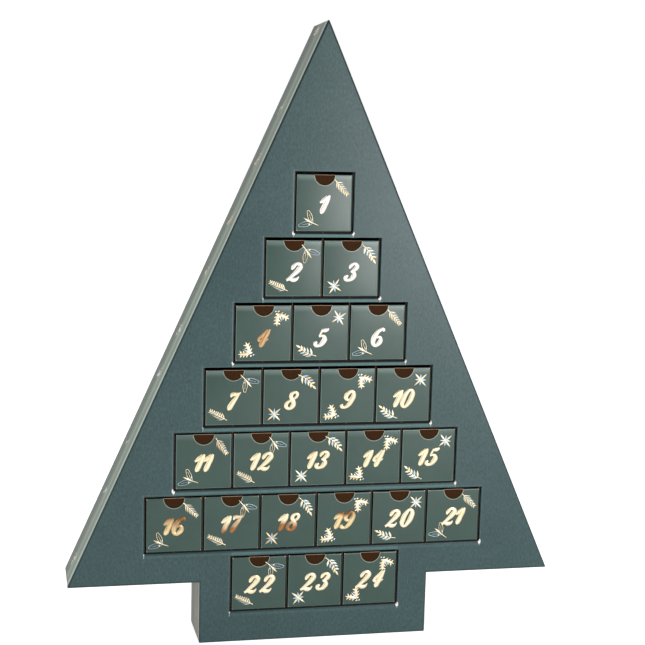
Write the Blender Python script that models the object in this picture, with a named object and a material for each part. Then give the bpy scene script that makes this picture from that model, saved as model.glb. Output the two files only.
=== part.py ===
"""Christmas tree advent calendar: a tree-shaped board case with seven rows of small card drawers.

Metres, +Z up. The front faces -Y. The origin is the middle of the base that the trunk stands on.
"""

import math

import bmesh
import bpy
from mathutils import Vector

MM = 0.001

# Rows from the top of the tree to the trunk, and how many drawers each holds
drawers_in_row = (1, 2, 3, 4, 5, 6, 3)

# Drawers
drawer_width = 40.1 * MM
drawer_height = 39.75 * MM
drawer_card = 0.7 * MM
drawer_fold_radius = 0.8 * MM
drawer_fold_steps = 3
drawer_recess = 0.3 * MM
drawer_stop_gap = 0.3 * MM
notch_radius = 7.5 * MM
notch_sides = 32
pull_clearance = 2.9 * MM
glue_tab_width = 9.0 * MM
glue_tab_drop = 4.0 * MM

# Racks that the drawers run in
side_clearance = 0.7 * MM
floor_clearance = 0.3 * MM
head_clearance = 2.2 * MM
partition_card = 0.5 * MM
shelf_board = 1.9 * MM
rack_stack_gap = 0.2 * MM

# Case
case_depth = 44.9 * MM
front_board = 2.0 * MM
back_board = 1.5 * MM
wall_board = 1.5 * MM
glue_line = 0.1 * MM
board_edge_radius = 0.4 * MM
board_edge_steps = 1
corner_radius = 0.5 * MM
corner_steps = 4
apex_height = 447.8 * MM
branch_width = 363.0 * MM
branch_height = 46.3 * MM
trunk_width = 172.0 * MM
lowest_cell_floor = 23.6 * MM

# Windows, measured from the cells behind them
window_side_margin = 0.8 * MM
window_sill_drop = 1.2 * MM
window_head_cover = 0.1 * MM

# Points nearer than this are one point, and faces nearer than this to a plane lie on it
weld_distance = 0.01 * MM
surface_tolerance = 0.1 * MM

# Sizes that follow
cell_pitch = drawer_width + 2 * side_clearance + partition_card
cell_height = floor_clearance + drawer_height + head_clearance
row_pitch = cell_height + 2 * shelf_board + rack_stack_gap
front_face = -case_depth / 2
back_face = case_depth / 2
front_inner = front_face + front_board
back_inner = back_face - back_board
drawer_front = front_face + drawer_recess
drawer_depth = back_inner - drawer_stop_gap - drawer_front
drawer_travel = drawer_depth + drawer_recess + pull_clearance

# Colours are linear values of the printed papers and cards
green_paper = (0.105, 0.150, 0.150, 1.0)
side_green = (0.250, 0.290, 0.270, 1.0)
drawer_green = (0.130, 0.185, 0.165, 1.0)
brown_card = (0.042, 0.024, 0.011, 1.0)


def finish(name, colour, roughness):
    """A Principled material for paper or card."""
    material = bpy.data.materials.new(name)
    material.use_nodes = True
    shader = material.node_tree.nodes["Principled BSDF"]
    shader.inputs["Base Color"].default_value = colour
    shader.inputs["Roughness"].default_value = roughness
    shader.inputs["Metallic"].default_value = 0.0
    material.diffuse_color = colour
    return material


def row_floor(row):
    """Height of the cell floor of a row, counted from 0 at the top."""
    return lowest_cell_floor + (len(drawers_in_row) - 1 - row) * row_pitch


def cell_centres(row):
    """The x of each cell of a row, from left to right."""
    count = drawers_in_row[row]
    return [(place - (count - 1) / 2) * cell_pitch for place in range(count)]


def rectangle(x_low, x_high, z_low, z_high):
    return [(x_low, z_low), (x_high, z_low), (x_high, z_high), (x_low, z_high)]


def tree_corners():
    """The corners of the tree, anticlockwise from the left end of the base."""
    trunk = trunk_width / 2
    branch = branch_width / 2
    return [
        (-trunk, 0.0),
        (trunk, 0.0),
        (trunk, branch_height),
        (branch, branch_height),
        (0.0, apex_height),
        (-branch, branch_height),
        (-trunk, branch_height),
    ]


def turn(before, corner, after):
    """Unit directions into and out of a corner, and the signed angle between them."""
    arriving = (Vector(corner) - Vector(before)).normalized()
    leaving = (Vector(after) - Vector(corner)).normalized()
    return arriving, leaving, math.atan2(arriving.cross(leaving), arriving.dot(leaving))


def rounded_corner(before, corner, after, radius, steps):
    """Points round a corner. A corner that turns inwards stays sharp, as one point."""
    arriving, leaving, angle = turn(before, corner, after)
    if angle <= 0:
        return [Vector(corner)]
    start = Vector(corner) - arriving * radius * math.tan(angle / 2)
    centre = start + Vector((-arriving.y, arriving.x)) * radius
    first = math.atan2(start.y - centre.y, start.x - centre.x)
    angles = [first + angle * step / steps for step in range(steps + 1)]
    return [centre + radius * Vector((math.cos(a), math.sin(a))) for a in angles]


def inner_corner(before, corner, after, thickness):
    """The matching corner of the line that lies one wall thickness inside the outline."""
    arriving, leaving, angle = turn(before, corner, after)
    inwards = Vector((-arriving.y, arriving.x)) + Vector((-leaving.y, leaving.x))
    return Vector(corner) + inwards.normalized() * thickness / math.cos(angle / 2)


def corner_sets():
    """For each corner of the tree, its rounded outer points and its inner point."""
    corners = tree_corners()
    sets = []
    for index, corner in enumerate(corners):
        before = corners[index - 1]
        after = corners[(index + 1) % len(corners)]
        outer = rounded_corner(before, corner, after, corner_radius, corner_steps)
        sets.append((outer, inner_corner(before, corner, after, wall_board)))
    return sets


def tree_outline():
    """The outline of the tree with its outer corners rounded."""
    return [point for outer, _ in corner_sets() for point in outer]


def flat_board(name, outlines, y_low, y_high, material, edge_radius=0.0):
    """A board cut from outlines in the X-Z plane, the first outside and the rest its holes."""
    curve = bpy.data.curves.new(name, "CURVE")
    curve.dimensions = "2D"
    curve.fill_mode = "BOTH"
    curve.extrude = (y_high - y_low) / 2 - edge_radius
    curve.bevel_depth = edge_radius
    curve.bevel_resolution = board_edge_steps
    curve.offset = -edge_radius
    for outline in outlines:
        spline = curve.splines.new("POLY")
        spline.points.add(len(outline) - 1)
        for point, (x, z) in zip(spline.points, outline):
            point.co = (x, z, 0.0, 1.0)
        spline.use_cyclic_u = True
    board = bpy.data.objects.new(name, curve)
    board.location = (0.0, (y_low + y_high) / 2, 0.0)
    board.rotation_euler = (math.radians(90), 0.0, 0.0)
    curve.materials.append(material)
    weld = board.modifiers.new("Weld caps", "WELD")
    weld.merge_threshold = weld_distance
    return board


def window_outline(row):
    """The window in the front panel for one row of drawers."""
    half = drawers_in_row[row] * cell_pitch / 2 + window_side_margin
    low = row_floor(row) - window_sill_drop
    high = row_floor(row) + cell_height - window_head_cover
    return rectangle(-half, half, low, high)


def front_panel(material):
    windows = [window_outline(row) for row in range(len(drawers_in_row))]
    outlines = [tree_outline()] + windows
    return flat_board(
        "front_panel", outlines, front_face, front_inner, material, board_edge_radius
    )


def back_panel(material):
    return flat_board(
        "back_panel", [tree_outline()], back_inner, back_face, material, board_edge_radius
    )


def side_walls(material):
    """One mitred board strip for each edge of the tree, between the front and back panels."""
    names = (
        "trunk_base",
        "trunk_right_wall",
        "right_underside_wall",
        "right_slope_wall",
        "left_slope_wall",
        "left_underside_wall",
        "trunk_left_wall",
    )
    corners = [Vector(corner) for corner in tree_corners()]
    sets = corner_sets()
    walls = []
    for index, name in enumerate(names):
        following = (index + 1) % len(names)
        along = (corners[following] - corners[index]).normalized() * glue_line
        start_outer, start_inner = sets[index]
        end_outer, end_inner = sets[following]
        start_mitre = len(start_outer) // 2
        end_mitre = len(end_outer) // 2
        outline = [start_inner + along, start_outer[start_mitre] + along]
        outline += start_outer[start_mitre + 1 :] + end_outer[:end_mitre]
        outline += [end_outer[end_mitre] - along, end_inner - along]
        walls.append(
            flat_board(
                name, [outline], front_inner + glue_line, back_inner - glue_line, material
            )
        )
    return walls


def row_rack(row, material):
    """The card rack of one row: floor, ceiling, end walls and partitions round its cells."""
    floor = row_floor(row)
    half = drawers_in_row[row] * cell_pitch / 2 + partition_card / 2
    outside = rectangle(
        -half, half, floor - shelf_board, floor + cell_height + shelf_board
    )
    cell_half = (cell_pitch - partition_card) / 2
    cells = [
        rectangle(x - cell_half, x + cell_half, floor, floor + cell_height)
        for x in cell_centres(row)
    ]
    return flat_board(
        f"row_{row + 1}_rack",
        [outside] + cells,
        front_inner + glue_line,
        back_inner - glue_line,
        material,
    )


def block(name, low, high):
    """A box object between two corners, with its scale applied."""
    bpy.ops.mesh.primitive_cube_add(size=1.0)
    shape = bpy.context.object
    shape.name = name
    size = Vector(high) - Vector(low)
    middle = (Vector(high) + Vector(low)) / 2
    for vertex in shape.data.vertices:
        vertex.co = Vector(a * b for a, b in zip(vertex.co, size)) + middle
    return shape


def round_creases(mesh):
    """Rounds every crease of the folded card. The top of the sides and back is a cut edge."""
    shape = bmesh.new()
    shape.from_mesh(mesh)
    creases = []
    for edge in shape.edges:
        on_top = all(vertex.co.z > drawer_height / 2 for vertex in edge.verts)
        on_front = all(vertex.co.y < drawer_depth / 2 for vertex in edge.verts)
        if on_front or not on_top:
            creases.append(edge)
    bmesh.ops.bevel(
        shape,
        geom=creases,
        offset=drawer_fold_radius,
        offset_type="OFFSET",
        segments=drawer_fold_steps,
        profile=0.5,
        affect="EDGES",
    )
    shape.to_mesh(mesh)
    shape.free()


def carved(shape, cutters, name):
    """The mesh that is left of a shape once the cutters are cut out, without the helpers."""
    for cutter in cutters:
        boolean = shape.modifiers.new("Cut " + cutter.name, "BOOLEAN")
        boolean.operation = "DIFFERENCE"
        boolean.object = cutter
    bpy.context.view_layer.update()
    evaluated = shape.evaluated_get(bpy.context.evaluated_depsgraph_get())
    mesh = bpy.data.meshes.new_from_object(evaluated)
    mesh.name = name
    for helper in [shape] + cutters:
        bpy.data.objects.remove(helper)
    return mesh


def drawer_mesh(paper, card):
    """The folded drawer: a tray whose front wall is rolled over into two plies.

    The half-moon thumb notch is cut through the outer ply only, so that the brown reverse of
    the inner ply shows in it. The sides end in glue tabs that lie against the back wall.
    Its own origin is the middle of the front's lower edge.
    """
    half = drawer_width / 2
    open_top = drawer_height + drawer_card
    tray = block("tray", (-half, 0.0, 0.0), (half, drawer_depth, drawer_height))
    round_creases(tray.data)
    inside = block(
        "inside",
        (drawer_card - half, 2 * drawer_card, drawer_card),
        (half - drawer_card, drawer_depth - 2 * drawer_card, open_top),
    )
    between_tabs = block(
        "between tabs",
        (glue_tab_width - half, drawer_depth / 2, drawer_card),
        (half - glue_tab_width, drawer_depth - drawer_card, open_top),
    )
    above_tabs = block(
        "above tabs",
        (drawer_card - half, drawer_depth / 2, drawer_height - glue_tab_drop),
        (half - drawer_card, drawer_depth - drawer_card, open_top),
    )
    bpy.ops.mesh.primitive_cylinder_add(
        vertices=notch_sides,
        radius=notch_radius,
        depth=2 * drawer_card,
        location=(0.0, 0.0, drawer_height),
        rotation=(math.radians(90), 0.0, 0.0),
    )
    notch = bpy.context.object
    notch.name = "thumb notch"
    tray.data.materials.append(paper)
    tray.data.materials.append(card)
    mesh = carved(tray, [inside, between_tabs, above_tabs, notch], "drawer")
    for face in mesh.polygons:
        printed = face.center.y < drawer_card - surface_tolerance
        face.material_index = 0 if printed else 1
    return mesh


def drawers(mesh):
    """All drawers in their cells, numbered from left to right and from top to bottom."""
    placed = []
    for row in range(len(drawers_in_row)):
        for x in cell_centres(row):
            drawer = bpy.data.objects.new(f"drawer_{len(placed) + 1:02d}", mesh)
            drawer.location = (x, drawer_front, row_floor(row) + floor_clearance)
            placed.append(drawer)
    return placed


def main():
    for item in list(bpy.data.objects):
        bpy.data.objects.remove(item, do_unlink=True)
    calendar = bpy.data.collections.new("Tree advent calendar")
    bpy.context.scene.collection.children.link(calendar)

    face_paper = finish("Green wrapping paper", green_paper, 0.42)
    side_paper = finish("Grey green side paper", side_green, 0.38)
    drawer_paper = finish("Green drawer paper", drawer_green, 0.35)
    card = finish("Brown card", brown_card, 0.75)

    pieces = [front_panel(face_paper), back_panel(face_paper)]
    pieces += side_walls(side_paper)
    pieces += [row_rack(row, card) for row in range(len(drawers_in_row))]
    pieces += drawers(drawer_mesh(drawer_paper, card))
    for piece in pieces:
        calendar.objects.link(piece)
    print(f"Drawer travel {drawer_travel / MM:.1f} mm, depth {drawer_depth / MM:.1f} mm")


main()
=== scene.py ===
"""Looks of the tree-shaped advent calendar: papers, card, foil numbers, stage, lamps and camera."""

import functools
import itertools
import math
import random

import bpy
from mathutils import Matrix, Vector


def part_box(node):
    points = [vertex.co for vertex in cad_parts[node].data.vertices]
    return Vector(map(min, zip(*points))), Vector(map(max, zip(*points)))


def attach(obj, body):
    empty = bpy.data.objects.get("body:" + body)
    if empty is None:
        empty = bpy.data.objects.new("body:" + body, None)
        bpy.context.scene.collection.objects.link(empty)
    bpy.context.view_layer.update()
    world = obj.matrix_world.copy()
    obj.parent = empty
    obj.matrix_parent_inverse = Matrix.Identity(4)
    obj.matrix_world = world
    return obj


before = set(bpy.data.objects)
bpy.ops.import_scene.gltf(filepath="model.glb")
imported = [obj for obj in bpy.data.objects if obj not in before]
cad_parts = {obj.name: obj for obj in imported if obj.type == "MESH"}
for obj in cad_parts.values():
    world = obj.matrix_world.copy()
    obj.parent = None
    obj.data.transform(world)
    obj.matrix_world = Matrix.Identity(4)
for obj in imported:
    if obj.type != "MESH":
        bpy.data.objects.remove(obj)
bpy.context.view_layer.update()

bpy.ops.object.select_all(action="DESELECT")

MM = 0.001

# Camera, solved from the corners of the tree and of its windows in the photograph
camera_place = (-0.2101, -0.8899, 0.3512)
camera_yaw = -10.686
camera_pitch = -8.886
camera_roll = -1.008
camera_lens = 70.0
camera_shift = (0.1013, 0.0507)
sensor_width = 36.0

# The drawers, as the frame holds them
drawers_in_row = (1, 2, 3, 4, 5, 6, 3)
row_count = len(drawers_in_row)
drawer_names = sorted(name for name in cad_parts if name.startswith("drawer_"))
first_low, first_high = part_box("drawer_01")
second_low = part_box("drawer_02")[0]
third_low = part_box("drawer_03")[0]
drawer_width = first_high.x - first_low.x
drawer_height = first_high.z - first_low.z
drawer_front = first_low.y
drawer_back = first_high.y
cell_pitch = third_low.x - second_low.x
row_pitch = first_low.z - second_low.z
lowest_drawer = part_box("drawer_24")[0].z
notch_radius = 7.5 * MM

# The case, as the frame holds it, with its windows in the sizes that the solids have
panel_low, panel_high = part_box("front_panel")
front_face = panel_low.y
back_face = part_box("back_panel")[1].y
tree_height = panel_high.z
branch_half = panel_high.x
branch_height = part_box("right_slope_wall")[0].z
window_rise = 43.35 * MM
window_drop = 1.5 * MM
window_margin = 0.8 * MM
trunk_window = drawers_in_row[-1] * cell_pitch / 2
trunk_border = 23.0 * MM
back_margin = 12.0 * MM

# How near a face a point counts as on it, on thin card, on board and through a front's outer ply
skin = 0.1 * MM
board_skin = 0.2 * MM
outer_ply = 0.62 * MM

# How far behind the fronts and the face their cut edges are still paler, and the racks' painted
# shade gives way to painted light
mouth_depth = 3.0 * MM

# Studio light, where 1 is white
world_light = 0.48
front_in_gloss = 0.24
floor_in_gloss = 0.56
floor_to_camera = 0.72

# Numbers and sprigs
numeral_height = 13.4 * MM
numeral_slant = 0.33
numeral_width = 0.92
numeral_weight = 1.26
numeral_drop = (0.9, 2.4, 3.5, 2.7, 0.9, 0.8, 0.8)
numeral_right = 0.3 * MM
upper_sprig = (-52, 9, 12.8 * MM, 11.0 * MM)
lower_sprig = (142, 12, -12.2 * MM, -12.6 * MM)
sprig_scale = 1.25
sprig_margin = 1.7 * MM
foil_flatness = 0.045

# The two colour sockets of a Mix node
mix_below, mix_above = 6, 7


def colour(code):
    """An sRGB hex colour as linear values. What isn't a hex colour stays as it is."""
    if not isinstance(code, str):
        return code
    parts = [int(code[start : start + 2], 16) / 255 for start in (1, 3, 5)]
    linear = [v / 12.92 if v <= 0.04045 else ((v + 0.055) / 1.055) ** 2.4 for v in parts]
    return (*linear, 1.0)


def add_node(tree, kind, inputs=(), stops=(), **settings):
    """Adds a node. Its inputs are given by name or in order: values, hex colours, or what to link.

    A linked node gives its first output that is in use. Stops are a ramp's places and colours or
    greys, and settings are the node's properties.
    """
    made = tree.nodes.new("ShaderNode" + kind)
    for name, value in settings.items():
        setattr(made, name, value)
    for index, (place, tone) in enumerate(stops):
        ramp = made.color_ramp.elements
        stop = ramp[index] if index < len(ramp) else ramp.new(place)
        stop.position = place
        stop.color = (tone, tone, tone, 1.0) if isinstance(tone, float) else colour(tone)
    given = inputs if isinstance(inputs, dict) else dict(enumerate(inputs))
    for name, value in given.items():
        if isinstance(value, bpy.types.Node):
            value = next(socket for socket in value.outputs if socket.enabled)
        if isinstance(value, bpy.types.NodeSocket):
            tree.links.new(value, made.inputs[name])
        else:
            made.inputs[name].default_value = colour(value)
    return made


def new_material(name):
    """An empty material, and what adds nodes to it."""
    material = bpy.data.materials.new(name)
    material.use_nodes = True
    material.node_tree.nodes.clear()
    return material, functools.partial(add_node, material.node_tree)


def finished(material, add, finish, relief, shape=0.0, normals=("Normal",)):
    """The material with its surface: a finish, and a bump of patterns with their heights in mm."""
    for pattern, height in relief:
        shape = add("Math", (pattern, height * MM, shape), operation="MULTIPLY_ADD")
    bump = add("Bump", {"Height": shape, "Distance": 1.0})
    shader = add("BsdfPrincipled", {**finish, **dict.fromkeys(normals, bump)})
    add("OutputMaterial", {"Surface": shader})
    return material


def layered(add, below, above, *shares, blend="MIX"):
    """A colour laid over another, as strongly as its shares multiplied."""
    factor = shares[0]
    for share in shares[1:]:
        factor = add("Math", (factor, share), operation="MULTIPLY")
    inputs = {"Factor": factor, mix_below: below, mix_above: above}
    return add("Mix", inputs, data_type="RGBA", blend_type=blend)


def place_on_object(add):
    """The place of a point on a piece, and its x, y and z, in metres."""
    coordinates = add("TexCoord").outputs["Object"]
    return coordinates, *add("SeparateXYZ", (coordinates,)).outputs


def row_places(add, x, z):
    """Row number from the trunk up, place across and up from a drawer's middle and lower edge."""
    lift = add("Math", (z, lowest_drawer), operation="SUBTRACT")
    rows_up = add("Math", (lift, row_pitch), operation="DIVIDE")
    row = add("Math", (rows_up,), operation="FLOOR")
    above = add("Math", (row, -row_pitch, lift), operation="MULTIPLY_ADD")
    parity = add("Math", (row, 2.0), operation="MODULO")
    shifted = add("Math", (parity, cell_pitch / 2, x), operation="MULTIPLY_ADD")
    across = add("Math", (shifted, cell_pitch / 2, -cell_pitch / 2), operation="WRAP")
    cells_over = add("Math", (shifted, cell_pitch), operation="DIVIDE")
    cell = add("Math", (cells_over,), operation="ROUND")
    return row, cell, across, above


def drawer_paper():
    """Folding boxboard: a satin green print on the outside and bare brown kraft inside.

    The print is smooth, with a soft sheen that slides across each slightly bowed front, painted
    highlights along its edges and rolled top, and the die-cut rim of the thumb notch shows the pale
    core.
    """
    material, add = new_material("Printed folding boxboard")
    coordinates, x, y, z = place_on_object(add)
    row, cell, across, above = row_places(add, x, z)
    half = drawer_width / 2

    # The outside, which is printed, with clouds about 17 mm across
    outside_x = add("Math", (across,), operation="ABSOLUTE")
    on_side = add("Math", (outside_x, half - skin), operation="GREATER_THAN")
    on_base = add("Math", (above, skin), operation="LESS_THAN")
    on_front = add("Math", (y, drawer_front + outer_ply), operation="LESS_THAN")
    on_back = add("Math", (y, drawer_back - skin), operation="GREATER_THAN")
    side_or_base = add("Math", (on_side, on_base), operation="MAXIMUM")
    front_or_back = add("Math", (on_front, on_back), operation="MAXIMUM")
    printed = add("Math", (side_or_base, front_or_back), operation="MAXIMUM")
    cloud = add("TexNoise", {"Vector": coordinates, "Scale": 60.0, "Detail": 3.0})
    green = add("ValToRGB", (cloud,), stops=((0.3, "#1E3C33"), (0.7, "#244239")))

    # Painted highlights on the creases round each front and on its rolled upper fold, stronger
    # higher up, and the brown board bared at the corners with a painted highlight on it
    from_side = add("Math", (half, outside_x), operation="SUBTRACT")
    from_top = add("Math", (drawer_height, above), operation="SUBTRACT")
    from_base = add("Math", (above, from_top), operation="MINIMUM")
    nearest = add("Math", (from_side, from_base), operation="MINIMUM")
    # Painted highlight along the creases, weaker on the two lowest rows
    crease = add(
        "MapRange",
        {
            "Value": nearest,
            "From Min": 0.15 * MM,
            "From Max": 0.85 * MM,
            "To Min": 0.46,
            "To Max": 0.0,
        },
        interpolation_type="SMOOTHSTEP",
    )
    upper_row = add("MapRange", {"Value": row, "From Min": 1.0, "From Max": 2.0})
    edge_highlight_share = add("MapRange", {"Value": upper_row, "To Min": 0.5})
    crease_shading = layered(add, green, "#9DB2AC", crease, edge_highlight_share, on_front)
    # Painted highlight on the upper 5 mm of each front, where light from above falls on it
    top_highlight = add(
        "MapRange",
        {
            "Value": from_top,
            "From Min": 0.8 * MM,
            "From Max": 5.0 * MM,
            "To Min": 1.0,
            "To Max": 0.0,
        },
        interpolation_type="SMOOTHSTEP",
    )
    top_light = add("MapRange", {"Value": row, "From Min": 1.0, "From Max": 3.0, "To Max": 0.2})
    lit_top = layered(add, crease_shading, "#A9BCB6", top_highlight, top_light, on_front)
    # Brown board bared at each corner, with a painted highlight on it
    to_corner = add("CombineXYZ", {"X": from_side, "Y": from_base})
    corner_distance = add("VectorMath", (to_corner,), operation="LENGTH")
    corner = add(
        "MapRange",
        {
            "Value": corner_distance,
            "From Min": 0.7 * MM,
            "From Max": 1.2 * MM,
            "To Min": 0.8,
            "To Max": 0.0,
        },
    )
    corner_highlighted = layered(add, lit_top, "#C0A68E", corner, on_front)

    # The thumb notch: a pale cut rim, and kraft card behind it with a pale cut line on top, the
    # core's own paler colour with a painted highlight on it. The fibres are drawn 1.4 mm long,
    # coarser than real ones, so that they show
    from_notch = add("CombineXYZ", {"X": across, "Y": from_top})
    notch_distance = add("VectorMath", (from_notch,), operation="LENGTH")
    in_front = add("Math", (y, drawer_front + mouth_depth), operation="LESS_THAN")
    rim = add(
        "MapRange",
        {
            "Value": notch_distance,
            "From Min": notch_radius + 0.1 * MM,
            "From Max": notch_radius + 0.6 * MM,
            "To Min": 0.6,
            "To Max": 0.0,
        },
    )
    rimmed = layered(add, corner_highlighted, "#B4B9A8", rim, in_front)
    fibres = add(
        "TexNoise", {"Vector": coordinates, "Scale": 700.0, "Detail": 4.0, "Roughness": 0.7}
    )
    kraft = add("ValToRGB", (fibres,), stops=((0.35, "#2E1A08"), (0.65, "#3A220C")))
    in_notch = add("Math", (notch_distance, notch_radius), operation="LESS_THAN")
    at_fold = add("Math", (from_top, 0.25 * MM), operation="LESS_THAN")
    brown = layered(add, kraft, "#AA9078", in_notch, at_fold, in_front)
    base = layered(add, brown, rimmed, printed)

    # Each front bows out by about a quarter of a millimetre and sits at its own slight tilt. The
    # print's grain is drawn 0.45 mm wide, so that it shows
    which = add("CombineXYZ", {"X": row, "Y": cell})
    chance = add("TexWhiteNoise", {"Vector": which})
    tilts = add("SeparateColor", (chance.outputs["Color"],)).outputs
    lean = add("MapRange", {"Value": tilts[0], "To Min": -0.050, "To Max": -0.008})
    nod = add("MapRange", {"Value": tilts[1], "To Min": -0.016, "To Max": 0.016})
    squared = add("Math", (across, 2.0), operation="POWER")
    from_middle = add("Math", (above, drawer_height / 2), operation="SUBTRACT")
    rise_squared = add("Math", (from_middle, 2.0), operation="POWER")
    both = add("Math", (squared, rise_squared), operation="ADD")
    bow = add("Math", (both, -0.28 * MM / half**2), operation="MULTIPLY")
    leaned = add("Math", (across, lean, bow), operation="MULTIPLY_ADD")
    nodded = add("Math", (above, nod, leaned), operation="MULTIPLY_ADD")
    grain = add("TexNoise", {"Vector": coordinates, "Scale": 2200.0, "Roughness": 0.6})
    finish = {
        "Base Color": base,
        "Roughness": 0.8,
        "Specular IOR Level": 0.1,
        "Coat Weight": printed,
        "Coat Roughness": 0.24,
        "Coat IOR": 1.5,
    }
    return finished(
        material, add, finish, ((grain, 0.004),), nodded, normals=("Normal", "Coat Normal")
    )


def past_window(add, sideways, z, shift=0.0):
    """Distance past the side and above the sill of the window in whose band a point lies.

    The bands of two rows meet halfway between their windows, moved up by the shift.
    """
    middle = lowest_drawer - window_drop + window_rise / 2
    lift = add("Math", (z, middle), operation="SUBTRACT")
    rows_up = add("Math", (lift, 1 / row_pitch, -shift / row_pitch), operation="MULTIPLY_ADD")
    nearest_row = add("Math", (rows_up,), operation="ROUND")
    row = add("Clamp", {"Value": nearest_row, "Min": 0.0, "Max": row_count - 1.0})
    lowest_row = add("Math", (row, 0.5), operation="LESS_THAN")
    widest = row_count * cell_pitch / 2 + window_margin
    stepped = add("Math", (row, -cell_pitch / 2, widest), operation="MULTIPLY_ADD")
    trunk_step = (drawers_in_row[-1] - row_count) * cell_pitch / 2
    half_window = add("Math", (lowest_row, trunk_step, stepped), operation="MULTIPLY_ADD")
    past_side = add("Math", (sideways, half_window), operation="SUBTRACT")
    from_middle = add("Math", (row, -row_pitch, lift), operation="MULTIPLY_ADD")
    above_sill = add("Math", (from_middle, window_rise / 2), operation="ADD")
    return row, past_side, above_sill


def wrapping_paper():
    """Laminated printed paper wrapped over greyboard: dark green, finely mottled, satin.

    It has clouds about 55 mm across. Where it folds into the windows it has painted highlights,
    most on their left, and painted highlights also run down the rails between windows, with painted
    shade under the sills and in a crease just inside the outline. At the windows' lower corners it
    has torn through to its white core. A second sheet covers the back, up to a margin.
    """
    material, add = new_material("Laminated wrapping paper")
    coordinates, x, y, z = place_on_object(add)
    sideways = add("Math", (x,), operation="ABSOLUTE")
    on_front = add("Math", (y, panel_high.y + board_skin), operation="LESS_THAN")
    cloud = add("TexNoise", {"Vector": coordinates, "Scale": 18.0, "Detail": 5.0, "Roughness": 0.6})
    green = add("ValToRGB", (cloud,), stops=((0.3, "#2D4546"), (0.7, "#354C4D")))

    # Mottling, a little longer upwards than across, and drawn 1.3 mm wide so that it shows
    upright = add("Mapping", {"Vector": coordinates, "Scale": (1.0, 1.0, 0.55)})
    mottle = add("TexNoise", {"Vector": upright, "Scale": 750.0, "Detail": 3.0, "Roughness": 0.6})
    level = add(
        "MapRange",
        {"Value": mottle, "From Min": 0.3, "From Max": 0.7, "To Min": 0.72, "To Max": 1.28},
    )
    mottled = layered(add, green, level, 1.0, blend="MULTIPLY")

    # Painted highlights on the folds round the nearest window, most on its left and on higher rows,
    # and on the paper that is turned in at its head and sides
    row, past_side, above_sill = past_window(add, sideways, z)
    above_head = add("Math", (above_sill, window_rise), operation="SUBTRACT")
    below_sill = add("Math", (above_sill, -1.0), operation="MULTIPLY")
    past_edge = add("Math", (above_head, below_sill), operation="MAXIMUM")
    outside = add("Math", (past_side, past_edge), operation="MAXIMUM")
    reach = add("MapRange", {"Value": outside, "From Max": 3.0 * MM})
    lit_fold = ((0.05, 0.40), (0.13, 1.00), (0.24, 0.50), (0.38, 0.12), (0.75, 0.05))
    fold = add("ValToRGB", (reach,), stops=((0.0, 0.0), *lit_fold, (1.0, 0.0)))
    left = add("Math", (x, 0.0), operation="LESS_THAN")
    beside = add("Math", (past_side, 0.0), operation="GREATER_THAN")
    beside_left = add("Math", (left, beside), operation="MULTIPLY")
    left_strength = add("Math", (row, 0.05, 0.06), operation="MULTIPLY_ADD")
    fold_strength = add("Math", (beside_left, left_strength, 0.10), operation="MULTIPLY_ADD")
    off_sill = add("Math", (below_sill, 0.0), operation="LESS_THAN")
    fold_shown = add("Math", (on_front, off_sill), operation="MULTIPLY")
    fold_lit = layered(add, mottled, "#869CA4", fold, fold_strength, fold_shown)
    head_or_side = add("Math", (past_side, above_head), operation="MAXIMUM")
    at_edge = add("Math", (head_or_side, -0.3 * MM, 0.6 * MM), operation="COMPARE")
    past_face = add("Math", (y, front_face + 0.4 * MM), operation="GREATER_THAN")
    turn_in_lit = layered(add, fold_lit, "#869CA4", at_edge, past_face, fold_shown, 0.4)

    # The narrow rail between two windows: a painted highlight down its middle, and painted shade
    # under a sill
    rail_drop = window_rise - row_pitch
    row, past_side, above_sill = past_window(add, sideways, z, rail_drop / 2)
    under = add("Math", (above_sill, 0.0), operation="LESS_THAN")
    over = add("Math", (above_sill, rail_drop - board_skin), operation="GREATER_THAN")
    in_rail = add("Math", (under, over), operation="MULTIPLY")
    inside = add("Math", (past_side, -board_skin), operation="LESS_THAN")
    rail = add("Math", (inside, in_rail), operation="MULTIPLY")
    rail_front = add("Math", (rail, on_front), operation="MULTIPLY")
    over_trunk = add("Math", (sideways, trunk_window), operation="LESS_THAN")
    second_row = add("Math", (row, 0.5), operation="GREATER_THAN")
    third_row = add("Math", (row, 1.5), operation="GREATER_THAN")
    over_window = add("Math", (over_trunk, second_row), operation="MULTIPLY")
    between = add("Math", (over_window, third_row), operation="MAXIMUM")
    rail_share = add("MapRange", {"Value": between, "To Min": 0.2, "To Max": 0.78})
    down_rail = add("MapRange", {"Value": above_sill, "From Max": rail_drop})
    rail_glow = add(
        "ValToRGB",
        (down_rail,),
        stops=((0.0, 0.0), (0.20, 0.06), (0.42, 0.27), (0.62, 0.25), (0.85, 0.18), (1.0, 0.10)),
    )
    rail_lit = layered(add, turn_in_lit, "#74A6A0", rail_front, rail_share, rail_glow)
    # Painted shade just under a sill
    sill_shade = add(
        "MapRange",
        {"Value": above_sill, "From Min": -0.9 * MM, "From Max": -0.2 * MM, "To Max": 0.7},
    )
    sill_shaded = layered(add, rail_lit, "#0E1C1E", sill_shade, rail_front)

    # The seam that runs down from each lower corner to the next window
    off_seam = add("Math", (past_side, 0.1 * MM), operation="SUBTRACT")
    beside_seam = add("Math", (off_seam,), operation="ABSOLUTE")
    seam = add(
        "MapRange",
        {
            "Value": beside_seam,
            "From Min": 0.15 * MM,
            "From Max": 0.45 * MM,
            "To Min": 0.5,
            "To Max": 0.0,
        },
    )
    seamed = layered(add, sill_shaded, "#A9BCC0", seam, in_rail, on_front)

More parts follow.
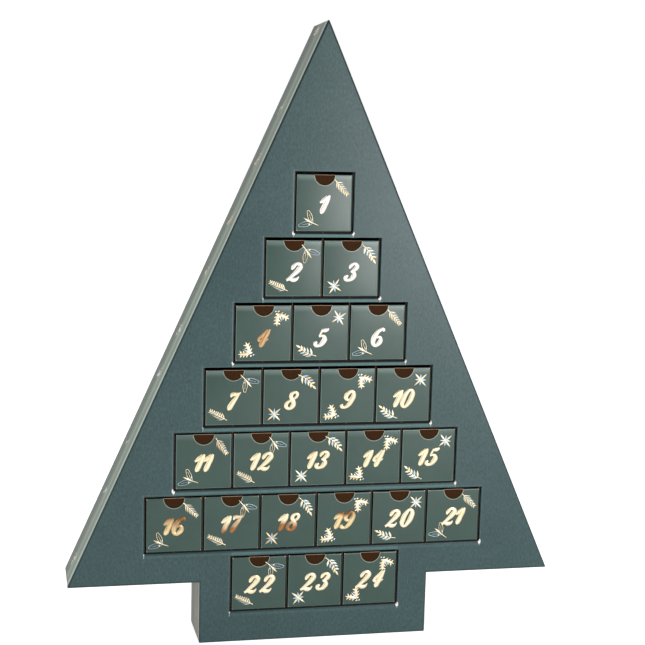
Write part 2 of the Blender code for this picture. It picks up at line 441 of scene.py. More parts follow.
    # Torn lower corners, each of its own size, small at some windows' left
    which = add("CombineXYZ", {"X": row, "Y": left})
    luck = add("TexWhiteNoise", {"Vector": which})
    odd_row = add("Math", (row, 2.0), operation="MODULO")
    trunk_row = add("Math", (row, 0.5), operation="LESS_THAN")
    spared_row = add("Math", (odd_row, trunk_row), operation="MAXIMUM")
    spared = add("Math", (spared_row, left), operation="MULTIPLY")
    full_size = add("MapRange", {"Value": luck, "To Min": -1.2 * MM, "To Max": -2.0 * MM})
    share = add("MapRange", {"Value": spared, "To Min": 1.0, "To Max": 0.25})
    size = add("Math", (full_size, share), operation="MULTIPLY")
    short_rise = add("Math", (above_sill, 0.6), operation="MULTIPLY")
    from_corner = add("CombineXYZ", {"X": past_side, "Y": short_rise})
    corner_distance = add("VectorMath", (from_corner,), operation="LENGTH")
    ragged = add(
        "TexNoise", {"Vector": coordinates, "Scale": 700.0, "Detail": 3.0, "Roughness": 0.7}
    )
    torn_distance = add("Math", (ragged, size, corner_distance), operation="MULTIPLY_ADD")
    torn = add(
        "MapRange", {"Value": torn_distance, "From Max": 0.25 * MM, "To Min": 1.0, "To Max": 0.0}
    )
    worn = layered(add, seamed, "#F1E8E2", torn, on_front)

    # Painted shade in a crease just inside the outline and along its straight edges, darkest at the
    # tip
    slope_rise = tree_height - branch_height
    slope_length = math.hypot(branch_half, slope_rise)
    below_tip = add("Math", (tree_height, z), operation="SUBTRACT")
    inwards = add("Math", (below_tip, branch_half / slope_length), operation="MULTIPLY")
    from_slope = add(
        "Math", (sideways, -slope_rise / slope_length, inwards), operation="MULTIPLY_ADD"
    )
    crease = add(
        "MapRange",
        {
            "Value": from_slope,
            "From Min": 0.45 * MM,
            "From Max": 1.35 * MM,
            "To Min": 1.0,
            "To Max": 0.0,
        },
        interpolation_type="SMOOTHSTEP",
    )
    higher = add(
        "MapRange",
        {
            "Value": z,
            "From Min": branch_height,
            "From Max": tree_height,
            "To Min": 0.52,
            "To Max": 0.8,
        },
    )
    crease_shade_depth = add("Math", (crease, higher), operation="MULTIPLY")
    off_trunk = add("Math", (trunk_window + trunk_border, sideways), operation="SUBTRACT")
    in_trunk = add("Math", (off_trunk, z), operation="MINIMUM")
    over_branch = add("Math", (z, branch_height), operation="SUBTRACT")
    from_straight = add("Math", (over_branch, in_trunk), operation="MAXIMUM")
    straight = add(
        "MapRange",
        {
            "Value": from_straight,
            "From Min": 0.5 * MM,
            "From Max": 1.5 * MM,
            "To Min": 0.42,
            "To Max": 0.0,
        },
    )
    outline_shade = add("Math", (crease_shade_depth, straight), operation="MAXIMUM")
    crease_shade = add("Math", (outline_shade, on_front), operation="MULTIPLY")
    crease_shading = layered(add, worn, "#081A1E", crease_shade)
    dulled = add("MapRange", {"Value": crease_shade, "To Min": 0.30})

    # The sheet on the back, a step thicker than the margin round it, with a pale cut edge
    on_back = add("Math", (y, back_face - board_skin), operation="GREATER_THAN")
    from_outline = add("Math", (from_slope, from_straight), operation="MINIMUM")
    past_sheet = add("Math", (from_outline, back_margin), operation="SUBTRACT")
    off_sheet = add("Math", (past_sheet,), operation="ABSOLUTE")
    sheet_edge = add(
        "MapRange",
        {
            "Value": off_sheet,
            "From Min": 0.1 * MM,
            "From Max": 0.7 * MM,
            "To Min": 0.28,
            "To Max": 0.0,
        },
    )
    edged = layered(add, crease_shading, "#869CA4", sheet_edge, on_back)
    on_sheet = add("MapRange", {"Value": past_sheet, "From Min": -0.2 * MM, "From Max": 0.2 * MM})
    sheet_step = add("Math", (on_sheet, on_back), operation="MULTIPLY")

    # Grain of 0.7 mm, and the board's pulp, which shows through as soft lumps of 8 mm
    grain = add(
        "TexNoise", {"Vector": coordinates, "Scale": 1500.0, "Detail": 3.0, "Roughness": 0.6}
    )
    pulp = add("TexNoise", {"Vector": coordinates, "Scale": 120.0, "Detail": 3.0})
    finish = {"Base Color": edged, "Roughness": dulled, "Specular IOR Level": 0.36, "IOR": 1.5}
    relief = ((grain, 0.006), (mottle, 0.018), (sheet_step, 0.12), (pulp, 0.03))
    return finished(material, add, finish, relief)


def side_paper():
    """The same laminated paper on the edge strips, drawn tight over the board and scuffed.

    It has streaks along it, 2.4 mm wide and 70 mm long. Its green is drawn much paler than the
    face's, as a painted sheen. From front to back it has a painted highlight on the rounded edge, a
    thin seam, a middle made paler with painted highlight and a back darkened with painted shade.
    Painted light by height makes it brightest at half height and darkest at the tip. It is greyer
    on the trunk.
    """
    material, add = new_material("Laminated edge paper")
    coordinates, x, y, z = place_on_object(add)
    stretched = add("Mapping", {"Vector": coordinates, "Scale": (14.0, 420.0, 14.0)})
    streaks = add("TexNoise", {"Vector": stretched, "Scale": 1.0, "Detail": 5.0, "Roughness": 0.65})
    # Drawn much paler than the face's green, as a painted sheen on the same paper
    green = add("ValToRGB", (streaks,), stops=((0.3, "#96A298"), (0.72, "#B4C0B6")))
    on_trunk = add("Math", (z, branch_height - 1.0 * MM), operation="LESS_THAN")
    tinted = layered(add, green, "#A7A297", on_trunk)

    # Bands of painted highlight and shade from the front to the back: teal at the front edge, then
    # ever greener
    from_front = add("Math", (y, front_face), operation="SUBTRACT")
    wander = add("TexNoise", {"Vector": coordinates, "Scale": 22.0})
    shifted = add("Math", (wander, 4.0 * MM, from_front), operation="MULTIPLY_ADD")
    far_back = back_face - front_face + 2.0 * MM
    across = add("MapRange", {"Value": shifted, "From Min": 2.0 * MM, "From Max": far_back})
    bands = [(0.0, (0.60, 0.78, 0.80, 1.0))]
    for place, level in (
        (0.02, 0.95), (0.05, 1.00), (0.13, 0.98), (0.16, 0.62), (0.21, 0.35), (0.29, 0.39),
        (0.38, 0.47), (0.45, 0.60), (0.50, 0.46), (0.58, 0.33), (0.70, 0.24), (0.82, 0.20),
    ):
        teal = 0.12 * max(0.0, 1.0 - place / 0.13)
        red = 1 - 0.13 * min(1.0, place / 0.6) - teal
        blue = 0.97 - 0.08 * math.sin(math.pi * place) + teal / 3
        bands.append((place, (level * red, level, level * blue, 1.0)))
    band = add("ValToRGB", (across,), stops=bands + [(1.0, (0.27, 0.31, 0.28, 1.0))])
    band_share = add("Math", (on_trunk, -0.3, 1.0), operation="MULTIPLY_ADD")
    lit_bands = layered(add, tinted, band, band_share, blend="MULTIPLY")

    # Painted light by height: brightest at half height, and darkest at the tip
    height_share = add("Math", (z, tree_height), operation="DIVIDE")
    light_by_height = add(
        "ValToRGB",
        (height_share,),
        stops=((0.1, 0.90), (0.45, 1.0), (0.60, 1.0), (0.75, 0.88), (0.88, 0.82), (1.0, 0.66)),
    )
    lit_by_height = layered(add, lit_bands, light_by_height, 1.0, blend="MULTIPLY")

    # Scuffs through to the tan card, about one to a row's height, drawn across the slopes' strips
    # and broken up by flecks of 2.6 mm
    scuff_pitch = 41.5 * MM
    stretch = add("Math", (z, scuff_pitch), operation="DIVIDE")
    number = add("Math", (stretch,), operation="FLOOR")
    on_right = add("Math", (x, 0.0), operation="GREATER_THAN")
    which = add("CombineXYZ", {"X": number, "Y": on_right})
    luck = add("TexWhiteNoise", {"Vector": which})
    lots = add("SeparateColor", (luck.outputs["Color"],)).outputs
    part = add("Math", (stretch,), operation="FRACT")
    stray = add("MapRange", {"Value": lots[0], "To Min": -0.75, "To Max": -0.25})
    off_scuff = add("Math", (part, stray), operation="ADD")
    along = add("Math", (off_scuff, scuff_pitch), operation="MULTIPLY")
    off_middle = add("Math", (from_front, 25.5 * MM), operation="SUBTRACT")
    slant = add("MapRange", {"Value": lots[1], "To Min": -0.1, "To Max": 0.5})
    slanted = add("Math", (off_middle, slant, along), operation="MULTIPLY_ADD")
    wide = add("MapRange", {"Value": lots[2], "To Min": 1.4 * MM, "To Max": 6.0 * MM})
    widths = add("Math", (slanted, wide), operation="DIVIDE")
    lengths = add("Math", (off_middle, 7.5 * MM), operation="DIVIDE")
    spread = add("CombineXYZ", {"X": widths, "Y": lengths})
    distance = add("VectorMath", (spread,), operation="LENGTH")
    near = add("MapRange", {"Value": distance, "From Max": 1.5, "To Min": 1.0, "To Max": 0.0})
    off_trunk = add("Math", (1.0, on_trunk), operation="SUBTRACT")
    on_slope = add("Math", (near, off_trunk), operation="MULTIPLY")
    drawn_out = add("Mapping", {"Vector": coordinates, "Scale": (1.6, 0.5, 1.6)})
    flecks = add(
        "TexNoise", {"Vector": drawn_out, "Scale": 380.0, "Detail": 4.0, "Roughness": 0.75}
    )
    raised = add("Math", (on_slope, 0.32, flecks), operation="MULTIPLY_ADD")
    spots = add("MapRange", {"Value": raised, "From Min": 0.69, "From Max": 0.79, "To Max": 0.9})
    tints = add("TexNoise", {"Vector": coordinates, "Scale": 160.0, "Detail": 0.0})
    which_tint = add("MapRange", {"Value": tints, "From Min": 0.50, "From Max": 0.58})
    core = layered(add, "#CDAA8A", "#CBD6D6", which_tint)
    worn = layered(add, lit_by_height, core, spots)

    grain = add(
        "TexNoise", {"Vector": coordinates, "Scale": 1200.0, "Detail": 3.0, "Roughness": 0.6}
    )
    finish = {"Base Color": worn, "Roughness": 0.45, "Specular IOR Level": 0.15, "IOR": 1.5}
    return finished(material, add, finish, ((streaks, 0.05), (grain, 0.008)))


def kraft_card():
    """Unprinted brown kraft card of the racks: matt, with visible fibres and pale cut edges.

    The fibres are drawn 1.7 mm long, coarser than real ones, so that they show. The card is drawn
    near black, as painted shade, and its cut edges within 3 mm of the front are paler, their own
    colour with painted light where the light reaches.
    """
    material, add = new_material("Brown kraft card, darkened with painted shade")
    coordinates, x, y, z = place_on_object(add)
    fibres = add(
        "TexNoise", {"Vector": coordinates, "Scale": 600.0, "Detail": 4.0, "Roughness": 0.7}
    )
    # Near black: painted shade on brown card that lies deep inside the case
    brown = add("ValToRGB", (fibres,), stops=((0.35, "#0B0805"), (0.65, "#130E09")))
    across = row_places(add, x, z)[2]
    from_middle = add("Math", (across,), operation="ABSOLUTE")
    on_partition = add("Math", (from_middle, cell_pitch / 2 - 0.4 * MM), operation="GREATER_THAN")
    # Paler near the front: the partitions' cut edges, with painted light where the light reaches
    at_mouth = add("Math", (y, front_face + mouth_depth), operation="LESS_THAN")
    edged = layered(add, brown, "#4A4238", on_partition, at_mouth)
    finish = {"Base Color": edged, "Roughness": 0.85, "IOR": 1.5}
    return finished(material, add, finish, ((fibres, 0.02),))


def hot_foil(name, bright, dark, roughness, turn_low=-1.0, turn_high=0.0):
    """Hot-stamped foil: a thin bright metal film that follows the card's small unevenness.

    Its colour is darker in patches of 17 mm, and darkens from turn_high to turn_low, heights on a
    front: a painted reflection, the film drawn dark where it would mirror dim surroundings.
    """
    material, add = new_material(name)
    coordinates, x, _, z = place_on_object(add)
    above = row_places(add, x, z)[3]
    turn = add(
        "MapRange",
        {
            "Value": above,
            "From Min": turn_low,
            "From Max": turn_high,
            "To Min": -0.2,
            "To Max": 0.12,
        },
    )
    cloud = add("TexNoise", {"Vector": coordinates, "Scale": 60.0})
    shade = add("Math", (cloud, turn), operation="ADD")
    tint = add("ValToRGB", (shade,), stops=((0.36, dark), (0.56, bright)))
    grain = add("TexNoise", {"Vector": coordinates, "Scale": 1500.0, "Roughness": 0.6})
    finish = {"Base Color": tint, "Metallic": 0.6, "Roughness": roughness}
    return finished(material, add, finish, ((grain, 0.006),))


# Brush strokes of each digit: points of x, height and width, as shares of the digit's height
digit_strokes = {
    "0": [
        ("loop", (0.28, 0.97, 0.14), (0.10, 0.78, 0.22), (0.03, 0.42, 0.26), (0.10, 0.12, 0.20),
         (0.24, 0.03, 0.14), (0.42, 0.22, 0.22), (0.50, 0.58, 0.26), (0.44, 0.88, 0.20)),
    ],
    "1": [
        ("line", (-0.24, 0.59, 0.09), (-0.07, 0.72, 0.22), (0.12, 0.90, 0.20)),
        ("line", (0.19, 0.97, 0.10), (0.15, 0.80, 0.24), (0.10, 0.45, 0.25), (0.05, 0.13, 0.24),
         (0.02, 0.03, 0.10)),
    ],
    "2": [
        ("line", (0.08, 0.62, 0.08), (0.10, 0.74, 0.19), (0.28, 0.94, 0.15), (0.50, 0.84, 0.24),
         (0.46, 0.61, 0.25), (0.22, 0.30, 0.17), (-0.02, 0.05, 0.12)),
        ("line", (-0.02, 0.04, 0.08), (0.16, 0.13, 0.17), (0.36, 0.08, 0.22), (0.54, 0.12, 0.15),
         (0.62, 0.25, 0.05)),
    ],
    "3": [
        ("line", (0.10, 0.68, 0.08), (0.13, 0.82, 0.17), (0.32, 0.94, 0.14), (0.50, 0.82, 0.23),
         (0.42, 0.62, 0.20), (0.24, 0.53, 0.08)),
        ("line", (0.24, 0.53, 0.08), (0.47, 0.44, 0.20), (0.50, 0.25, 0.25), (0.28, 0.07, 0.16),
         (0.08, 0.11, 0.17), (0.06, 0.23, 0.20), (0.16, 0.31, 0.08)),
    ],
    "4": [
        ("line", (0.38, 0.96, 0.08), (0.24, 0.72, 0.14), (0.05, 0.44, 0.13), (0.06, 0.36, 0.10)),
        ("line", (0.03, 0.38, 0.10), (0.25, 0.36, 0.15), (0.46, 0.38, 0.13), (0.62, 0.47, 0.04)),
        ("line", (0.52, 0.98, 0.08), (0.44, 0.75, 0.22), (0.36, 0.40, 0.25), (0.30, 0.12, 0.24),
         (0.27, 0.03, 0.10)),
    ],
    "5": [
        ("line", (0.18, 0.90, 0.14), (0.33, 0.90, 0.20), (0.46, 0.94, 0.15), (0.52, 1.00, 0.04)),
        ("line", (0.18, 0.94, 0.10), (0.14, 0.76, 0.10), (0.10, 0.58, 0.08)),
        ("line", (0.10, 0.55, 0.07), (0.28, 0.61, 0.13), (0.46, 0.48, 0.24), (0.44, 0.25, 0.25),
         (0.24, 0.07, 0.16), (0.05, 0.11, 0.18), (0.02, 0.22, 0.19), (0.08, 0.29, 0.08)),
    ],
    "6": [
        ("line", (0.52, 0.82, 0.10), (0.46, 0.93, 0.16), (0.30, 0.91, 0.17), (0.10, 0.64, 0.24),
         (0.06, 0.32, 0.25), (0.22, 0.07, 0.17), (0.44, 0.15, 0.22), (0.50, 0.36, 0.22),
         (0.36, 0.52, 0.13), (0.20, 0.44, 0.06)),
    ],
    "7": [
        ("line", (0.02, 0.74, 0.08), (0.08, 0.88, 0.20), (0.26, 0.89, 0.18), (0.41, 0.91, 0.14),
         (0.52, 1.00, 0.04)),
        ("line", (0.49, 0.96, 0.06), (0.37, 0.72, 0.16), (0.24, 0.42, 0.24), (0.16, 0.14, 0.25),
         (0.14, 0.03, 0.10)),
    ],
    "8": [
        ("loop", (0.50, 0.72, 0.14), (0.46, 0.90, 0.15), (0.28, 0.94, 0.14), (0.14, 0.80, 0.19),
         (0.24, 0.60, 0.20), (0.42, 0.42, 0.22), (0.46, 0.20, 0.22), (0.24, 0.06, 0.15),
         (0.05, 0.20, 0.19), (0.10, 0.42, 0.15), (0.30, 0.55, 0.13)),
    ],
    "9": [
        ("line", (0.42, 0.60, 0.06), (0.22, 0.48, 0.14), (0.06, 0.62, 0.22), (0.14, 0.87, 0.19),
         (0.34, 0.94, 0.15), (0.48, 0.78, 0.22), (0.46, 0.46, 0.25), (0.34, 0.16, 0.19),
         (0.14, 0.07, 0.15), (-0.02, 0.13, 0.19), (0.0, 0.25, 0.08)),
    ],
}
digit_advance = {"1": 0.37, "11": 0.47}
usual_advance = 0.84


def numeral_lines(text, film):
    """The strokes of a number in metres, slanted, with its middle at the origin."""
    lines = []
    along = 0.0
    for digit, pair in zip(text, (text, text[1:])):
        for kind, *points in digit_strokes[digit]:
            moved = [
                (x * numeral_width + along + numeral_slant * up, up, width * numeral_weight)
                for x, up, width in points
            ]
            lines.append((kind, moved))
        along += digit_advance.get(pair, digit_advance.get(digit, usual_advance))
    points = [point for _, points in lines for point in points]
    left = min(x - width / 2 for x, _, width in points)
    right = max(x + width / 2 for x, _, width in points)
    middle = (left + right) / 2
    return [
        (kind, film, [
            ((x - middle) * numeral_height, (up - 0.5) * numeral_height, width * numeral_height)
            for x, up, width in points
        ])
        for kind, points in lines
    ]


def turned(lines, angle, x, z):
    """Strokes turned by an angle in degrees and moved."""
    c, s = math.cos(math.radians(angle)), math.sin(math.radians(angle))
    return [
        (kind, metal, [
            (x + px * c - pz * s, z + px * s + pz * c, width) for px, pz, width in points
        ])
        for kind, metal, points in lines
    ]


def leaf(root_x, root_z, angle, length, breadth, metal):
    """A pointed leaf as one stroke that swells and thins."""
    points = [(0.0, 0.0, 0.12), (0.35, 0.0, 0.95), (0.7, 0.0, 0.7), (1.0, 0.0, 0.08)]
    shaped = [(along * length, across * length, width * breadth) for along, across, width in points]
    return turned([("line", metal, shaped)], angle, root_x, root_z)


def open_leaf(root_x, root_z, angle, length, breadth, metal):
    """A leaf drawn as an outline with a midrib."""
    rim = 0.26 * MM
    sides = [
        (math.sin(math.pi * t) ** 0.8 * breadth / 2, t * length) for t in (0.25, 0.5, 0.75)
    ]
    outline = [(0.0, 0.0, rim)]
    outline += [(along, across, rim) for across, along in sides]
    outline += [(length, 0.0, rim)]
    outline += [(along, -across, rim) for across, along in reversed(sides)]
    lines = [
        ("loop", metal, outline),
        ("line", metal, [(0.1 * length, 0.0, rim), (0.75 * length, 0.0, 0.6 * rim)]),
    ]
    return turned(lines, angle, root_x, root_z)


def berry(x, z, size, metal):
    return [("line", metal, [(x - size / 4, z, size), (x + size / 4, z, size)])]


def laurel_twig():
    """A bent stem with leaves in pairs that shrink towards the tip."""
    stem = [(t * 11 * MM, math.sin(t * 2.4) * 1.6 * MM, 0.42 * MM) for t in (0.0, 0.33, 0.66, 1.0)]
    lines = [("line", "gold", stem)]
    for index, t in enumerate((0.22, 0.42, 0.62, 0.82)):
        x, z = t * 11 * MM, math.sin(t * 2.4) * 1.6 * MM
        size = (4.2 - 0.5 * index) * MM
        lines += leaf(x, z, 48, size, 1.5 * MM, "gold" if index % 2 else "blue")
        lines += leaf(x, z, -42, size, 1.5 * MM, "blue" if index % 3 == 1 else "gold")
    return lines + leaf(10.6 * MM, 1.1 * MM, 0, 3.2 * MM, 1.4 * MM, "gold")


def fir_twig():
    """A straight stem with needles in pairs."""
    lines = [("line", "gold", [(0.0, 0.0, 0.5 * MM), (12 * MM, 0.0, 0.3 * MM)])]
    for index in range(7):
        x = (1.6 + 1.45 * index) * MM
        size = (4.0 - 0.32 * index) * MM
        metal = "blue" if index % 3 == 1 else "gold"
        lines += leaf(x, 0.0, 38, size, 0.62 * MM, metal)
        lines += leaf(x, 0.0, -38, size, 0.62 * MM, "gold")
    return lines


def holly_leaf(angle, metal):
    """A holly leaf: a broad middle with three thorns on each side."""
    lines = leaf(0.0, 0.0, 0, 7.4 * MM, 2.3 * MM, metal)
    for x in (1.6 * MM, 3.4 * MM, 5.2 * MM):
        for side in (1, -1):
            lines += leaf(x, 0.0, side * 62, 2.3 * MM, 1.1 * MM, metal)
    return turned(lines, angle, 0.0, 0.0)


def holly_sprig():
    """Two holly leaves and three berries."""
    lines = holly_leaf(34, "gold") + holly_leaf(-34, "gold")
    lines += leaf(0.0, 0.0, 0, 5.2 * MM, 1.3 * MM, "blue")
    for angle in (90, 200, 310):
        x = -0.7 * MM + 1.0 * MM * math.cos(math.radians(angle))
        z = 1.0 * MM * math.sin(math.radians(angle))
        lines += berry(x, z, 1.3 * MM, "blue" if angle == 200 else "gold")
    return lines


def mistletoe_sprig():
    """A forked stem with two open leaves, one full leaf and two berries."""
    lines = [("line", "gold", [(-4.0 * MM, -0.6 * MM, 0.3 * MM), (0.0, 0.0, 0.55 * MM)])]
    lines += open_leaf(0.0, 0.0, 42, 8.0 * MM, 2.8 * MM, "blue")
    lines += open_leaf(0.0, 0.0, -40, 7.4 * MM, 2.6 * MM, "gold")
    lines += leaf(0.0, 0.0, 2, 5.6 * MM, 1.3 * MM, "gold")
    lines += berry(0.9 * MM, 1.7 * MM, 1.1 * MM, "gold")
    lines += berry(0.9 * MM, -1.8 * MM, 1.1 * MM, "blue")
    return lines


def star_flower():
    """An eight-pointed star of long and short rays, round a small centre."""
    lines = berry(0.0, 0.0, 1.3 * MM, "gold")
    for index in range(8):
        size = 5.0 * MM if index % 2 == 0 else 3.4 * MM
        lines += leaf(0.0, 0.0, 45 * index, size, 1.25 * MM, "gold" if index % 2 == 0 else "blue")
    return lines


sprigs = (laurel_twig, fir_twig, holly_sprig, mistletoe_sprig, star_flower)
sprig_offset = {
    "laurel_twig": 6.0 * MM,
    "fir_twig": 6.0 * MM,
    "holly_sprig": 3.0 * MM,
    "mistletoe_sprig": 2.0 * MM,
    "star_flower": 0.0,
}


def sprig_lines(make, angle, x, z):
    """One sprig, turned, with its middle at a place on the front."""
    middle = sprig_offset[make.__name__]
    lines = [
        (kind, metal, [
            ((px - middle) * sprig_scale, pz * sprig_scale, width * sprig_scale)
            for px, pz, width in points
        ])
        for kind, metal, points in make()
    ]
    return kept_inside(turned(lines, angle, x, z))


def kept_inside(lines):
    """Strokes moved, where they come too near the front's edges, to leave a plain margin."""
    moves = []
    for axis, half in ((0, drawer_width / 2), (1, drawer_height / 2)):
        limit = half - sprig_margin
        low = min(point[axis] for _, _, points in lines for point in points)
        high = max(point[axis] for _, _, points in lines for point in points)
        moves.append(min(0.0, limit - high) + max(0.0, -limit - low))
    return turned(lines, 0, *moves)


def press_foil(name, lines, metals, x, z):
    """Strokes stamped on a drawer's front: round strokes pressed almost flat."""
    curve = bpy.data.curves.new(name, "CURVE")
    curve.dimensions = "3D"
    # With this depth, a point's radius is the whole width of its stroke
    curve.bevel_depth = 0.5
    curve.bevel_resolution = 1
    curve.resolution_u = 4
    curve.use_fill_caps = True
    for metal in metals.values():
        curve.materials.append(metal)
    order = list(metals)
    for kind, metal, points in lines:
        spline = curve.splines.new("BEZIER")
        spline.bezier_points.add(len(points) - 1)
        spline.use_cyclic_u = kind == "loop"
        spline.material_index = order.index(metal)
        spline.radius_interpolation = "CARDINAL"
        for point, (px, pz, width) in zip(spline.bezier_points, points):
            point.co = (px, 0.0, pz)
            point.handle_left_type = "AUTO"
            point.handle_right_type = "AUTO"
            point.radius = width
    piece = bpy.data.objects.new(name, curve)
    bpy.context.scene.collection.objects.link(piece)
    bpy.ops.object.select_all(action="DESELECT")
    bpy.context.view_layer.objects.active = piece
    piece.select_set(True)
    bpy.ops.object.convert(target="MESH")
    piece = bpy.context.object
    piece.scale = (1.0, foil_flatness, 1.0)
    highest = max(width for _, _, points in lines for _, _, width in points)
    piece.location = (x, drawer_front - highest * foil_flatness / 2, z)
    bpy.ops.object.transform_apply(location=True, rotation=True, scale=True)
    bpy.ops.object.shade_smooth()
    piece.select_set(False)
    return piece


def foil_prints():
    """The number and the two sprigs on each front."""
    low_turn, foot_turn, head_turn = 14.0 * MM, 22.0 * MM, 26.0 * MM
    # Gold and pale blue are the sprigs' two foils. The numbers are one cream foil with painted
    # reflection: whitest on the top rows, creamier lower down, and bronze where drawn as mirroring
    # dark
    metals = {
        "gold": hot_foil("Gold hot foil", "#F8E6C2", "#DDB987", 0.32),
        "blue": hot_foil("Pale blue hot foil", "#B9CDDA", "#8AABC2", 0.34),
        "pearl": hot_foil("Hot foil with painted white sheen", "#FCF5E8", "#F4E4C4", 0.28),
        "cream": hot_foil("Hot foil with painted cream sheen", "#F8E6BE", "#EED4A2", 0.28),
        "straw": hot_foil("Hot foil with painted straw sheen", "#FDECC8", "#F2D9AA", 0.30),
        "bronze": hot_foil("Hot foil with painted bronze reflection", "#C49C6E", "#85592F", 0.28),
        "bronze foot": hot_foil(
            "Hot foil, painted bronze reflection at the foot", "#FBE9C4", "#A06C3C", 0.28, low_turn, foot_turn
        ),
        "bronze head": hot_foil(
            "Hot foil, painted bronze reflection at the head", "#EBCF9C", "#8F5F33", 0.28, head_turn, low_turn
        ),
    }
    # Painted dark bronze reflection on these numbers
    special = {
        4: "bronze", 16: "bronze head", 17: "bronze foot", 18: "bronze foot", 19: "bronze head",
    }
    chance = random.Random(24)
    rows = [row for row, count in enumerate(drawers_in_row) for _ in range(count)]
    for number, (node, row) in enumerate(zip(drawer_names, rows), start=1):
        low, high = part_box(node)
        x, z = (low.x + high.x) / 2, (low.z + high.z) / 2
        # The numbers' painted sheen by row: whitest on the top three rows
        usual = "pearl" if row < 3 else "cream" if row < 5 else "straw"
        strokes = numeral_lines(str(number), special.get(number, usual))
        lines = turned(strokes, 0, numeral_right, -numeral_drop[row] * MM)
        for pick, sprig in ((number * 2 + 4, upper_sprig), (number * 3, lower_sprig)):
            angle, stray, across, up = sprig
            angle += chance.uniform(-stray, stray)
            lines += sprig_lines(sprigs[pick % len(sprigs)], angle, across, up)
        print_piece = press_foil(f"foil_print_{number:02d}", lines, metals, x, z)
        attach(print_piece, node)


def dress_case():
    """Papers and cards on the solids of the frame."""
    papers = {
        "face": wrapping_paper(),
        "side": side_paper(),
        "drawer": drawer_paper(),
        "rack": kraft_card(),
    }
    for name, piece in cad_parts.items():
        if name.startswith("drawer_"):
            place = "drawer"
        elif name.endswith("_rack"):
            place = "rack"
        else:
            place = "face" if name.endswith("_panel") else "side"
        piece.data.materials.clear()
        piece.data.materials.append(papers[place])
    turned_in_paper(papers["face"])


def turned_in_paper(paper):
    """The wrapping paper turned in round the heads and sills of the three lowest windows.

    It doesn't lie tight against the board there, and narrows the dark gaps at the drawers.
    """
    hidden = rounding = 0.3 * MM
    board = panel_high.y - panel_low.y
    for rows_up, (place, slack) in itertools.product(
        range(3), (("head", -0.75 * MM), ("sill", 0.35 * MM))
    ):
        sill = lowest_drawer - window_drop + rows_up * row_pitch
        edge_height = sill + (window_rise if place == "head" else 0.0)
        inwards = math.copysign(1.0, slack)
        half = drawers_in_row[-1 - rows_up] * cell_pitch / 2 + window_margin
        bpy.ops.mesh.primitive_cube_add(
            size=1.0,
            location=(0.0, front_face + board / 2, edge_height + (slack - inwards * hidden) / 2),
            scale=(2 * half, board - skin, hidden + abs(slack)),
        )
        fold = bpy.context.object
        fold.name = f"turned_in_paper_{place}_{row_count - rows_up}"
        bpy.ops.object.transform_apply(location=True, rotation=True, scale=True)
        for edge in fold.data.edges:
            ends = [fold.data.vertices[v].co for v in edge.vertices]
            long_edge = abs(ends[0].x - ends[1].x) > half
            edge.select = long_edge and all((end.z - edge_height) * inwards > 0 for end in ends)
        for face in fold.data.polygons:
            face.select = False
        bpy.ops.object.mode_set(mode="EDIT")
        bpy.ops.mesh.select_mode(type="EDGE")
        bpy.ops.mesh.bevel(offset=rounding, segments=4, profile=0.5)
        bpy.ops.object.mode_set(mode="OBJECT")
        bpy.ops.object.shade_smooth_by_angle(angle=math.radians(40))
        fold.data.materials.append(paper)
        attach(fold, "case")
        fold.select_set(False)


def seen_rays(add):
    """The camera's rays, and those that gloss and glass send on."""
    rays = add("LightPath").outputs
    gloss = add("Math", (rays["Is Glossy Ray"], rays["Is Transmission Ray"]), operation="MAXIMUM")
    return rays["Is Camera Ray"], gloss


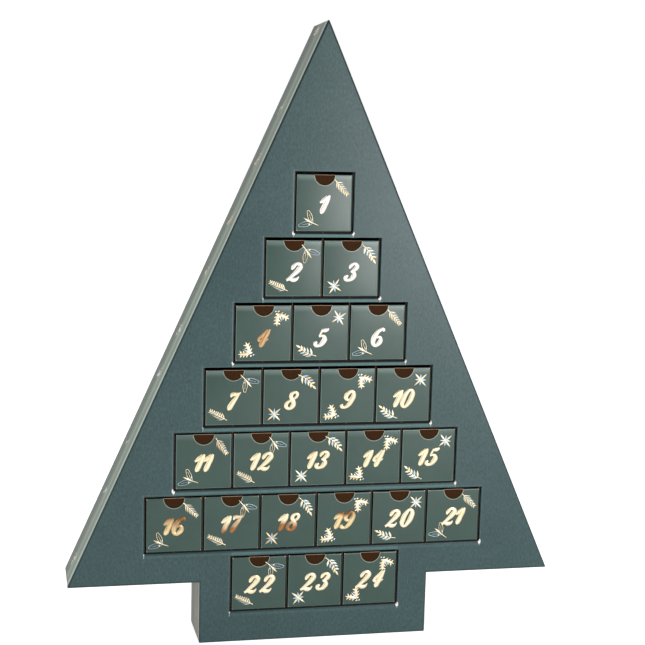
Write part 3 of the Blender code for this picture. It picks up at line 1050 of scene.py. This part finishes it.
def white_stage():
    """A plain white floor that keeps the shadow, in a white studio, dimmer behind the camera.

    The camera sees both as white. Gloss sees the floor and the white sweep behind the object.
    """
    bpy.ops.mesh.primitive_plane_add(size=30.0, location=(0.0, 0.0, 0.0))
    floor = bpy.context.object
    floor.name = "studio_floor"
    material, add = new_material("White studio floor")
    camera_ray, gloss = seen_rays(add)
    in_gloss = add("Math", (gloss, floor_in_gloss), operation="MULTIPLY")
    glow = add("Math", (camera_ray, floor_to_camera, in_gloss), operation="MULTIPLY_ADD")
    shader = add(
        "BsdfPrincipled",
        {
            "Base Color": "#EDEDED",
            "Roughness": 0.9,
            "Emission Color": "#FFFFFF",
            "Emission Strength": glow,
        },
    )
    add("OutputMaterial", {"Surface": shader})
    floor.data.materials.append(material)
    floor.select_set(False)

    world = bpy.data.worlds.new("White studio")
    bpy.context.scene.world = world
    world.use_nodes = True
    world.node_tree.nodes.clear()
    add = functools.partial(add_node, world.node_tree)
    towards = add("SeparateXYZ", (add("TexCoord").outputs["Generated"],)).outputs["Y"]
    sweep = add(
        "MapRange",
        {"Value": towards, "From Min": -0.35, "From Max": 0.25, "To Min": front_in_gloss},
        interpolation_type="SMOOTHSTEP",
    )
    camera_ray, gloss = seen_rays(add)
    lit = add("MapRange", {"Value": gloss, "To Min": world_light, "To Max": sweep})
    strength = add("MapRange", {"Value": camera_ray, "To Min": lit})
    background = add("Background", {"Color": "#FFFFFF", "Strength": strength})
    add("OutputWorld", {"Surface": background})


def softbox(name, place, target, width, height, power):
    """A large soft lamp aimed at a point."""
    lamp = bpy.data.lights.new(name, "AREA")
    lamp.shape = "RECTANGLE"
    lamp.size = width
    lamp.size_y = height
    lamp.energy = power
    holder = bpy.data.objects.new(name, lamp)
    bpy.context.scene.collection.objects.link(holder)
    holder.location = place
    holder.rotation_euler = (Vector(target) - Vector(place)).to_track_quat("-Z", "Y").to_euler()


def studio_camera():
    """The camera at the photograph's place, turned by yaw, pitch and roll from looking along +Y."""
    yaw = Matrix.Rotation(math.radians(camera_yaw), 3, "Z")
    pitch = Matrix.Rotation(math.radians(camera_pitch), 3, "X")
    roll = Matrix.Rotation(math.radians(camera_roll), 3, "Y")
    upright = Matrix.Rotation(math.radians(90), 3, "X")
    data = bpy.data.cameras.new("Photograph")
    data.lens = camera_lens
    data.sensor_width = sensor_width
    data.shift_x, data.shift_y = camera_shift
    camera = bpy.data.objects.new("Photograph", data)
    camera.matrix_world = Matrix.Translation(camera_place) @ (yaw @ pitch @ roll @ upright).to_4x4()
    bpy.context.scene.collection.objects.link(camera)
    bpy.context.scene.camera = camera


dress_case()
foil_prints()
white_stage()
softbox("Key softbox", (0.63, -1.02, 0.42), (0.0, 0.0, 0.28), width=0.60, height=0.62, power=9.6)
softbox("Fill softbox", (-1.2, -0.9, 0.9), (0.0, 0.0, 0.25), width=1.2, height=1.2, power=4.5)
softbox("Side softbox", (-1.3, 0.15, 0.75), (0.0, 0.0, 0.25), width=1.0, height=1.0, power=7.5)
studio_camera()
bpy.context.scene.view_settings.view_transform = "Standard"
